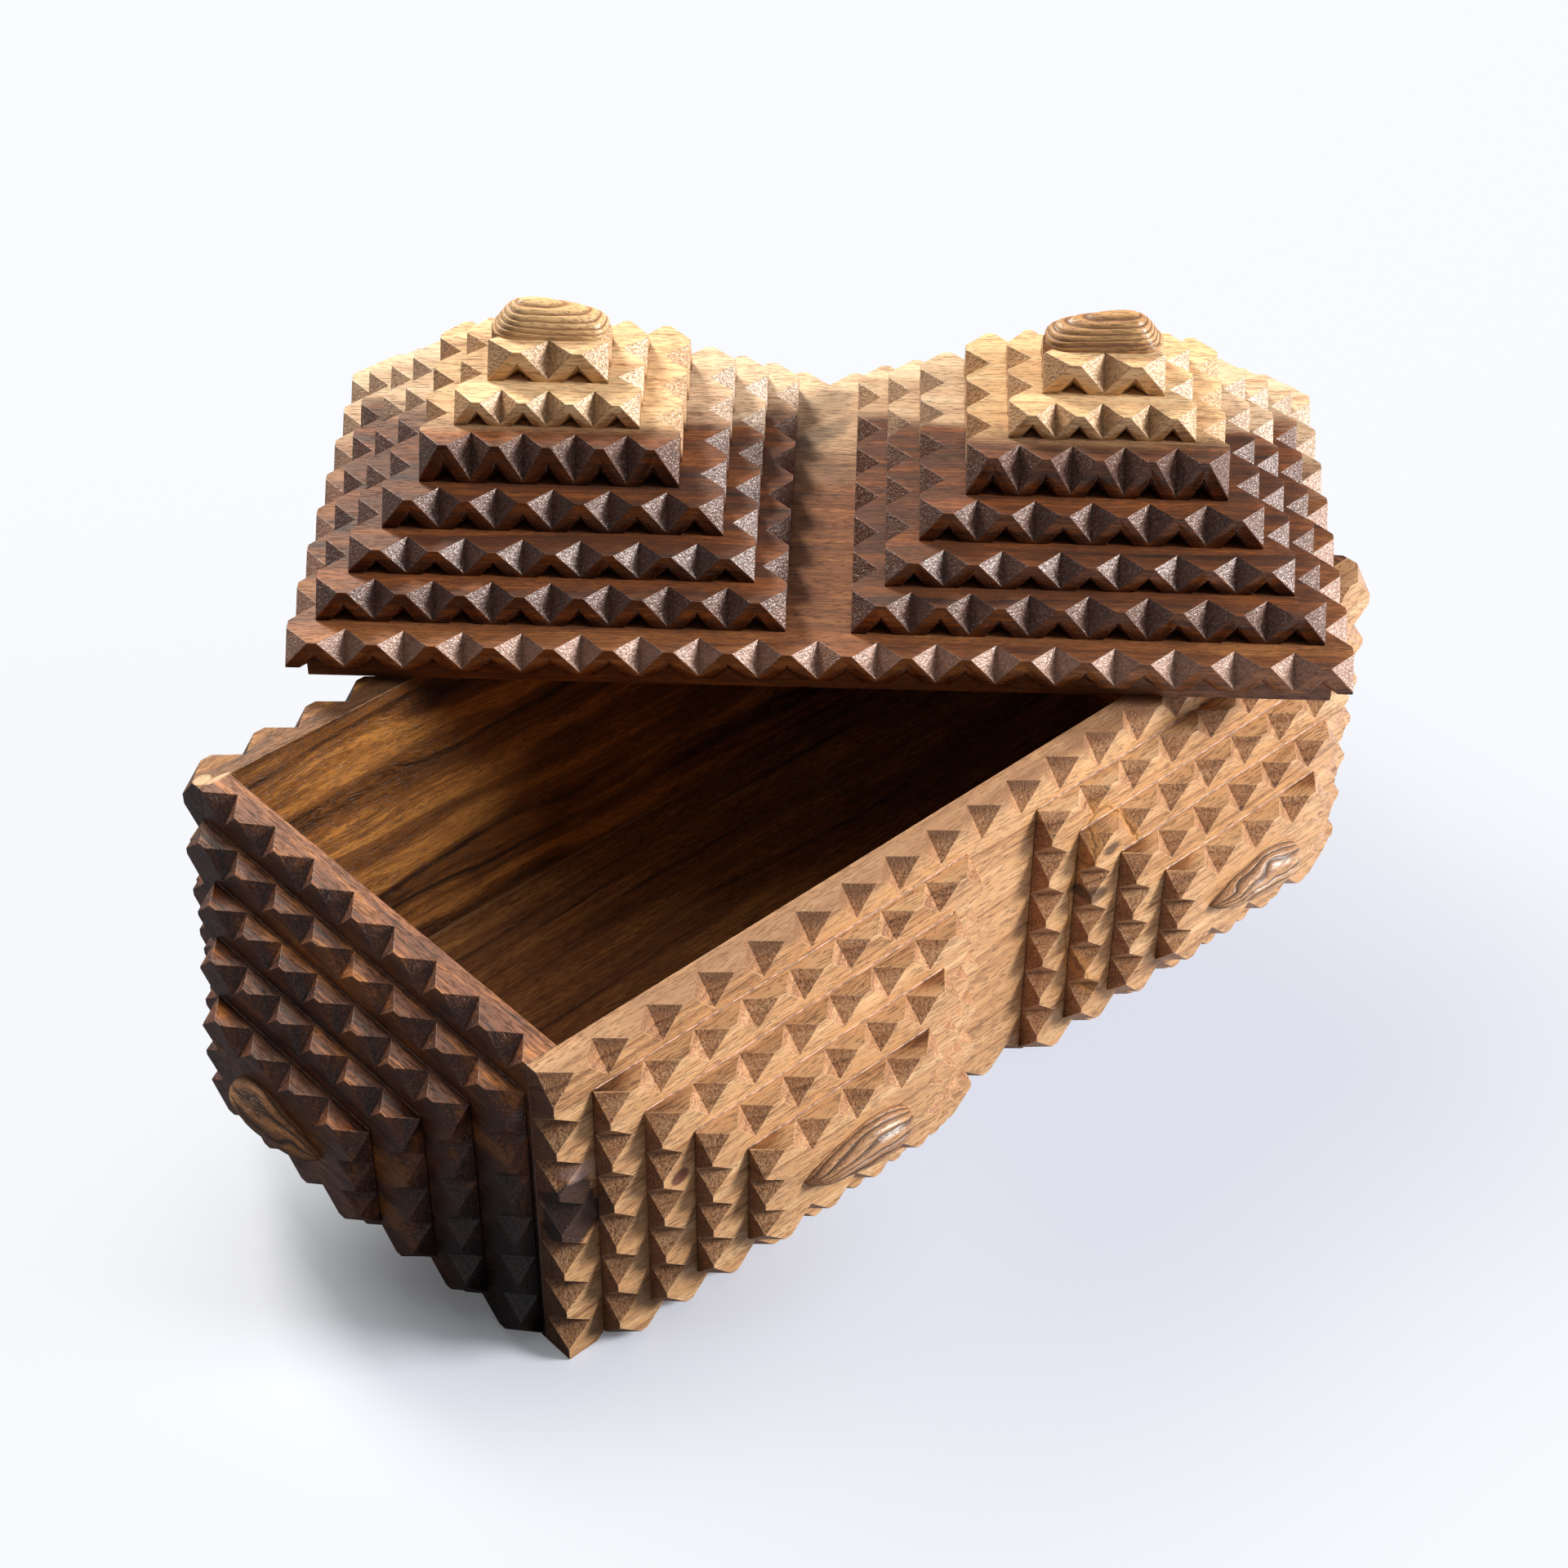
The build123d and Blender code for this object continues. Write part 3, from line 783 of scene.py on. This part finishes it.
for name, along, across, above, below, tones in knob_ways:
    node = name + "_knob"
    low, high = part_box(node)
    out = along.cross(across)
    middle = (low + high) / 2
    size = high - low
    tall = abs(size.dot(out))
    long = abs(size.dot(along))
    wide = abs(size.dot(across))

    def rings(t, s, place, above=above, below=below):
        turned = math.asin(max(-1.0, min(1.0, s))) * 2 / math.pi
        uneven = 0.3 * math.sin(7 * turned + 2 * t)
        return (above if s > 0 else below) * turned + uneven + 0.6 * t * t - 0.3 * t + 0.3

    foot = middle - out * tall / 2
    piece = mound(node, foot, along, across, long, leaf(wide / 2, 0.15), mussel(tall), rings)
    turn = CROSS_WAY if abs(along.y) else LONG_WAY
    dress(piece, ringed(node, turn, **tones))


# ---- lid -------------------------------------------------------------------------------------
# A wide board with a plate under it that drops between the walls, and two stacks of six boards.
# The boards are cut with their pale sapwood to the back.

LID_TURN = math.radians(-44.6)
LID_ALONG = Vector((math.cos(LID_TURN), math.sin(LID_TURN), 0))
LID_ACROSS = Vector((-math.sin(LID_TURN), math.cos(LID_TURN), 0))
DOWN = (0, 0, -1)
sapwood = dict(
    pale=rgb(240, 214, 180), tan=rgb(228, 192, 154), brown=rgb(190, 146, 110), ends=rgb(206, 172, 140)
)
top_sapwood = dict(
    pale=rgb(250, 218, 168), tan=rgb(238, 194, 142), brown=rgb(198, 144, 98), ends=rgb(222, 174, 126)
)
# The pale, pinkish ends tones of the two heartwoods are a painted sheen on the faces cut across the
# grain.
heartwood = dict(
    pale=rgb(160, 90, 38), tan=rgb(98, 51, 20), brown=rgb(48, 23, 11), ends=rgb(112, 78, 66)
)
board_heart = dict(
    pale=rgb(178, 116, 64), tan=rgb(132, 76, 36), brown=rgb(72, 38, 20), ends=rgb(190, 150, 130)
)
SAPWOOD_EDGES = (44, 22, 5, -25, -60, -60)      # behind the lid's middle, largest tier first
PALE_FROM = 4                   # the tier from which the boards are cut from the palest sapwood
SAPWOOD_STRAYS = 26.0           # width of the band in which the sapwood's edge strays
SMOKE = rgb(74, 62, 56)
lid_low, lid_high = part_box("lid_board")
lid_middle = (lid_low + lid_high) / 2


def sapwood_group():
    """The ragged line where pale sapwood meets the heart, at Edge along the given distance."""
    group, given, out = new_group(
        "sapwood",
        [
            ("Place", "Vector", None),
            ("Distance", "Float", 0.0),
            ("Edge", "Float", 0.0),
            ("Feather", "Float", 9.0),
            ("Ragged", "Float", 1.0),
        ],
        [("Mask", "Float")],
    )
    ragged = cloud(group, given["Place"], (34, 7, 7), 3.0).outputs["Fac"]
    shift = maths(group, "MULTIPLY", swing(group, ragged, SAPWOOD_STRAYS), given["Ragged"])
    past = maths(group, "SUBTRACT", maths(group, "ADD", given["Distance"], shift), given["Edge"])
    mask = step_between(group, maths(group, "DIVIDE", past, given["Feather"]), -1.0, 1.0)
    group.links.new(mask, out["Mask"])
    return group


sapwood_line = sapwood_group()


def two_toned(name, pith, edge, heart=heartwood, sap=sapwood, marks=(), ragged=1.0, feather=9.0):
    """Walnut with sapwood past edge, in millimetres from the lid's middle towards its back."""
    material, tree = new_material(name)
    place = grain_place(tree, LID_TURN, pith)
    where = tree.nodes.new("ShaderNodeTexCoord")
    offset = vectors(tree, "SUBTRACT", where.outputs["Object"], tuple(lid_middle))
    distance = vectors(tree, "DOT_PRODUCT", offset, tuple(LID_ACROSS / MM))
    line = use_group(
        tree, sapwood_line, Place=place, Distance=distance, Edge=edge, Ragged=ragged, Feather=feather
    )
    tones = {k: blend_colors(tree, line["Mask"], heart[k], sap[k]) for k in heart}
    # Faces cut across the grain take the ends tone: darker in the sapwood, and in the heartwood a
    # paler, pinker tone that is a painted sheen.
    across = end_grain(tree, LID_TURN)
    cut_across = step_between(tree, across, 0.2, 0.6, 0.0, 0.8)
    for k in ("pale", "tan", "brown"):
        tones[k] = blend_colors(tree, cut_across, tones[k], tones["ends"])
    wood = use_group(
        tree, plank_grain, Place=place, Pale=tones["pale"], Tan=tones["tan"], Brown=tones["brown"],
        Ring_Spacing=4.5, Wander=9.0, Figure=0.8, Pore_Darkness=0.6, Mottle=0.5, Across=across
    )
    cut = add_marks(tree, wood["Color"], marks)
    worn_shaded = use_group(
        tree, wear_and_shade, Color=cut, Place=place, Rubbed=tones["pale"], Wear=0.28, Dirt=0.7
    )
    rough = step_between(tree, wood["Pores"], 0.0, 1.0, 0.27, 0.45)
    lacquered(worn_shaded["Color"], wood["Height"], rough)
    return material


def on_lid(along, across, up):
    """A point given in millimetres from the lid board's middle, along and across the lid."""
    place = lid_middle / MM + LID_ALONG * along + LID_ACROSS * across
    return (place.x, place.y, lid_middle.z / MM + up)


smoky_strip = [
    mark(on_lid(0, 66, 5), (9, 9, 20), SMOKE, 0.4, wobble=1.6),
    mark(on_lid(-3, 44, 5), (14, 4, 20), SMOKE, 0.55, wobble=1.6),
    mark(on_lid(3, 20, 5), (6, 8, 20), SMOKE, 0.3, wobble=1.8, feather=0.6),
]
board_wood = two_toned(
    "lid_board", (10, 90, 60), 34, heart=board_heart, marks=smoky_strip, ragged=1.4, feather=34.0
)
dress(hand_cut("lid_board", LID_TURN, DOWN), board_wood)
plate_wood = walnut(
    "lid_plate", LID_TURN, (0, 80, 70), pale=rgb(160, 100, 52), tan=rgb(112, 64, 30),
    brown=rgb(58, 30, 15)
)
dress(hand_cut("lid_plate", LID_TURN), plate_wood)
for number, name in enumerate(("lid_left", "lid_right")):
    for tier, edge in enumerate(SAPWOOD_EDGES, 1):
        node = f"{name}_tier_{tier}"
        pith = (83 * number + 57 * tier, 100 + 13 * tier, 90 - 17 * tier)
        sap = sapwood if tier < PALE_FROM else top_sapwood
        wood = two_toned(node, pith, edge, sap=sap, ragged=0.35 if tier == PALE_FROM else 1.0)
        dress(hand_cut(node, LID_TURN, DOWN), wood)


# ---- domes -----------------------------------------------------------------------------------
# A low mound of pale ringed wood crowns each lid pyramid, highest towards the lid's end.  It is
# carved and brushed like the knobs and glued to the top board.

DOME_LONG = 39.6 * MM
DOME_WIDE = 18.0 * MM
DOME_BACK = 2.0 * MM            # how far the ends curve towards the lid's back
DOME_RINGS = 1.7 * MM           # height from one growth ring to the next
CREST = 0.34                    # where the top lies, from the middle 0 to the outer end 1
BEHIND = 0.2                    # how far behind the middle line the ridge runs
DOME_TONES = dict(
    pale=rgb(246, 212, 160), tan=rgb(228, 184, 128), brown=rgb(186, 134, 84), line=rgb(130, 82, 46)
)
BROWN_DOME_TONES = dict(
    pale=rgb(232, 190, 132), tan=rgb(204, 154, 100), brown=rgb(150, 102, 62), line=rgb(104, 64, 36)
)


def cushion(half, back):
    """An oblong outline whose front runs almost straight and curves back at the ends."""
    def edge(t):
        round_end = max(0.0, 1 - abs(t) ** 5.5) ** 0.36
        shift = back * (1 - round_end)
        return -half * round_end + shift, half * round_end + shift
    return edge


for name, outer, tones in (("lid_left", -1, DOME_TONES), ("lid_right", 1, BROWN_DOME_TONES)):
    node = name + "_dome"
    low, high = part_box(node)
    middle = (low + high) / 2
    foot = Vector((middle.x, middle.y, low.z))
    tall = high.z - low.z

    def crown(t, s, outer=outer):
        far = t * outer
        if far > CREST:
            run = 1 - ((far - CREST) / (1 - CREST)) ** 2.6
        else:
            run = 1 - 0.62 * ((CREST - far) / (1 + CREST)) ** 1.7
        run *= max(0.0, 1 - abs(t) ** 9) ** 0.5
        aside = s - BEHIND
        reach = 1 + BEHIND if aside < 0 else 1 - BEHIND
        body = max(0.0, 1 - abs(aside / reach) ** 1.9) ** 0.62
        return 0.82 * tall * run * body

    def rings(t, s, place, outer=outer):
        return (place.z - outer * 0.05 * place.x + 0.1 * place.y) / DOME_RINGS

    outline = cushion(DOME_WIDE / 2, DOME_BACK)
    piece = mound(node, foot, LID_ALONG, LID_ACROSS, DOME_LONG, outline, crown, rings, 0.22, 0.3)
    dress(piece, ringed(node, LID_TURN, **tones))


# ---- studio ----------------------------------------------------------------------------------
# A white paper sweep in a white room, lit by one big soft lamp to the right of the lens, with a
# small warm one behind on the left and a faint one overhead.

AIM = Vector((-9.0, -1.5, 77.6)) * MM
AZIMUTH = math.radians(-42.718)
ELEVATION = math.radians(40.249)
ROLL = math.radians(0.303)
AWAY = 1.0494
UP = Vector((0, 0, 1))
RIGHT = Vector((math.cos(AZIMUTH), math.sin(AZIMUTH), 0))
AHEAD = Vector((-math.sin(AZIMUTH), math.cos(AZIMUTH), 0))

back = UP * math.sin(ELEVATION) - AHEAD * math.cos(ELEVATION)
lens = bpy.data.cameras.new("lens")
lens.sensor_width = 36.0
lens.lens = 69.7
camera = bpy.data.objects.new("camera", lens)
camera.rotation_mode = "QUATERNION"
camera.location = AIM + back * AWAY
level_view = (-back).to_track_quat("-Z", "Y")
camera.rotation_quaternion = level_view @ Matrix.Rotation(ROLL, 3, "Z").to_quaternion()
bpy.context.scene.collection.objects.link(camera)
bpy.context.scene.camera = camera


def soft_lamp(name, direction, distance, size, power, color):
    """A square lamp that faces the box from the given direction."""
    data = bpy.data.lights.new(name, "AREA")
    data.shape = "SQUARE"
    data.size = size
    data.energy = power
    data.color = color
    lamp = bpy.data.objects.new(name, data)
    direction = direction.normalized()
    lamp.location = AIM + direction * distance
    lamp.rotation_mode = "QUATERNION"
    lamp.rotation_quaternion = direction.to_track_quat("Z", "Y")
    bpy.context.scene.collection.objects.link(lamp)


soft_lamp("key", RIGHT * 0.87 - AHEAD * 0.06 + UP * 0.42, 4.6, 1.45, 325.0, (1.0, 0.985, 0.965))
soft_lamp("left back", Vector((0.12, 0.8, 0.6)), 2.4, 0.7, 80.0, (1.0, 0.92, 0.8))
soft_lamp("overhead", RIGHT * 0.1 - AHEAD * 0.1 + UP, 2.2, 1.2, 5.0, (1.0, 0.99, 0.98))

# The room is white to the lens, grey in the lacquer, and dim as light, brighter from one side.
WHITE_WALL = (0.93, 0.95, 1.0, 1.0)
SIDE_LIGHT = (0.012, 0.2)       # from the dark side of the room to the bright one
IN_LACQUER = (0.5, 0.28)        # from the walls to the ceiling, as the lacquer mirrors them
world = bpy.data.worlds.new("room")
bpy.context.scene.world = world
world.use_nodes = True
air = world.node_tree
air.nodes.clear()
rays = air.nodes.new("ShaderNodeLightPath")
heading = air.nodes.new("ShaderNodeTexCoord").outputs["Generated"]
bright_side = (RIGHT * 0.55 + AHEAD * 0.75 + UP * 0.6).normalized()
toward_light = vectors(air, "DOT_PRODUCT", heading, tuple(bright_side))
height = vectors(air, "DOT_PRODUCT", heading, tuple(UP))
filling = step_between(air, toward_light, -0.4, 0.8, *SIDE_LIGHT)
walls = step_between(air, height, 0.2, 0.6, *IN_LACQUER)
seen = maths(air, "MAXIMUM", rays.outputs["Is Camera Ray"], rays.outputs["Is Glossy Ray"])
unseen = maths(air, "MULTIPLY", maths(air, "SUBTRACT", 1.0, seen), filling)
mirrored = maths(air, "MULTIPLY_ADD", rays.outputs["Is Glossy Ray"], walls, unseen)
sky = air.nodes.new("ShaderNodeBackground")
sky.inputs["Color"].default_value = WHITE_WALL
feed(air, sky.inputs["Strength"], maths(air, "ADD", rays.outputs["Is Camera Ray"], mirrored))
air.links.new(sky.outputs[0], air.nodes.new("ShaderNodeOutputWorld").inputs["Surface"])

SWEEP = 6.0
SWEEP_UNDER = -0.2 * MM
sweep_mesh = bpy.data.meshes.new("sweep")
corners = [(SWEEP * x, SWEEP * y, SWEEP_UNDER) for x, y in ((-1, -1), (1, -1), (1, 1), (-1, 1))]
sweep_mesh.from_pydata(corners, [], [(0, 1, 2, 3)])
sweep = bpy.data.objects.new("sweep", sweep_mesh)
bpy.context.scene.collection.objects.link(sweep)

# The paper glows white to the lens, less so close in front of the box, where its shadow shows, and a
# bluish painted shade lies on it along the front.  The box gets less light back from it on the left.
SHADOW_RIGHT, SHADOW_NEAR = -0.08, 0.16         # the shadow's middle, in metres from the box's
SHADOW_WIDE, SHADOW_DEEP = 0.19, 0.122          # its half sizes
GLOW, GLOW_LOST = 0.965, 0.86                   # the paper's glow, and how much the shadow takes
GLOW_IN_LACQUER = 0.12
WHITE_PAPER = rgb(247, 249, 253)
PAPER_IN_PAINTED_SHADE = rgb(222, 225, 237)
SHADED_PAPER = (0.72, 0.76, 0.88, 1.0)
DIM_BOUNCE = (0.1, 0.1, 0.12, 1.0)
BRIGHT_BOUNCE = (0.86, 0.86, 0.9, 1.0)
paper, tree = new_material("paper")
place = tree.nodes.new("ShaderNodeTexCoord").outputs["Object"]
toward = vectors(tree, "DOT_PRODUCT", place, tuple(-AHEAD))
sideways = vectors(tree, "DOT_PRODUCT", place, tuple(RIGHT))
shade_x = maths(tree, "DIVIDE", maths(tree, "SUBTRACT", sideways, SHADOW_RIGHT), SHADOW_WIDE)
shade_y = maths(tree, "DIVIDE", maths(tree, "SUBTRACT", toward, SHADOW_NEAR), SHADOW_DEEP)
square_x = maths(tree, "MULTIPLY", shade_x, shade_x)
square_y = maths(tree, "MULTIPLY", shade_y, shade_y)
gap = maths(tree, "SQRT", maths(tree, "ADD", square_x, square_y))
grounded = maths(tree, "POWER", step_between(tree, gap, 0.15, 1.15, 1.0, 0.0), 2.2)
apart = tree.nodes.new("ShaderNodeSeparateXYZ")
tree.links.new(place, apart.inputs[0])
# Painted shade: the paper's glow is darker and bluer before the long front.
painted_front_shade = step_between(tree, apart.outputs["Y"], -0.34, -0.16)
painted_front_shade = maths(tree, "MULTIPLY", painted_front_shade, step_between(tree, apart.outputs["Y"], 0.1, -0.1))
painted_front_shade = maths(tree, "MULTIPLY", painted_front_shade, step_between(tree, apart.outputs["X"], -0.25, 0.0))
painted_front_shade = maths(tree, "MULTIPLY", painted_front_shade, step_between(tree, apart.outputs["X"], 0.3, 0.08))
glow = tree.nodes.new("ShaderNodeEmission")
tree.links.new(blend_colors(tree, painted_front_shade, WHITE_PAPER, PAPER_IN_PAINTED_SHADE), glow.inputs["Color"])
path = tree.nodes.new("ShaderNodeLightPath")
matt = tree.nodes.new("ShaderNodeBsdfDiffuse")
bounce = blend_colors(tree, step_between(tree, sideways, -0.1, 0.3), DIM_BOUNCE, BRIGHT_BOUNCE)
matt_color = blend_colors(tree, path.outputs["Is Camera Ray"], bounce, SHADED_PAPER)
tree.links.new(matt_color, matt.inputs["Color"])
gleam = maths(tree, "MULTIPLY", path.outputs["Is Glossy Ray"], GLOW_IN_LACQUER)
share = maths(tree, "MULTIPLY_ADD", grounded, -GLOW_LOST, GLOW)
share = maths(tree, "MULTIPLY", share, maths(tree, "MAXIMUM", path.outputs["Is Camera Ray"], gleam))
both = tree.nodes.new("ShaderNodeMixShader")
tree.links.new(share, both.inputs[0])
tree.links.new(matt.outputs[0], both.inputs[1])
tree.links.new(glow.outputs[0], both.inputs[2])
tree.links.new(both.outputs[0], tree.nodes.new("ShaderNodeOutputMaterial").inputs["Surface"])
sweep_mesh.materials.append(paper)
sweep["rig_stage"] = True

bpy.context.scene.view_settings.view_transform = "Standard"

low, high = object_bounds()
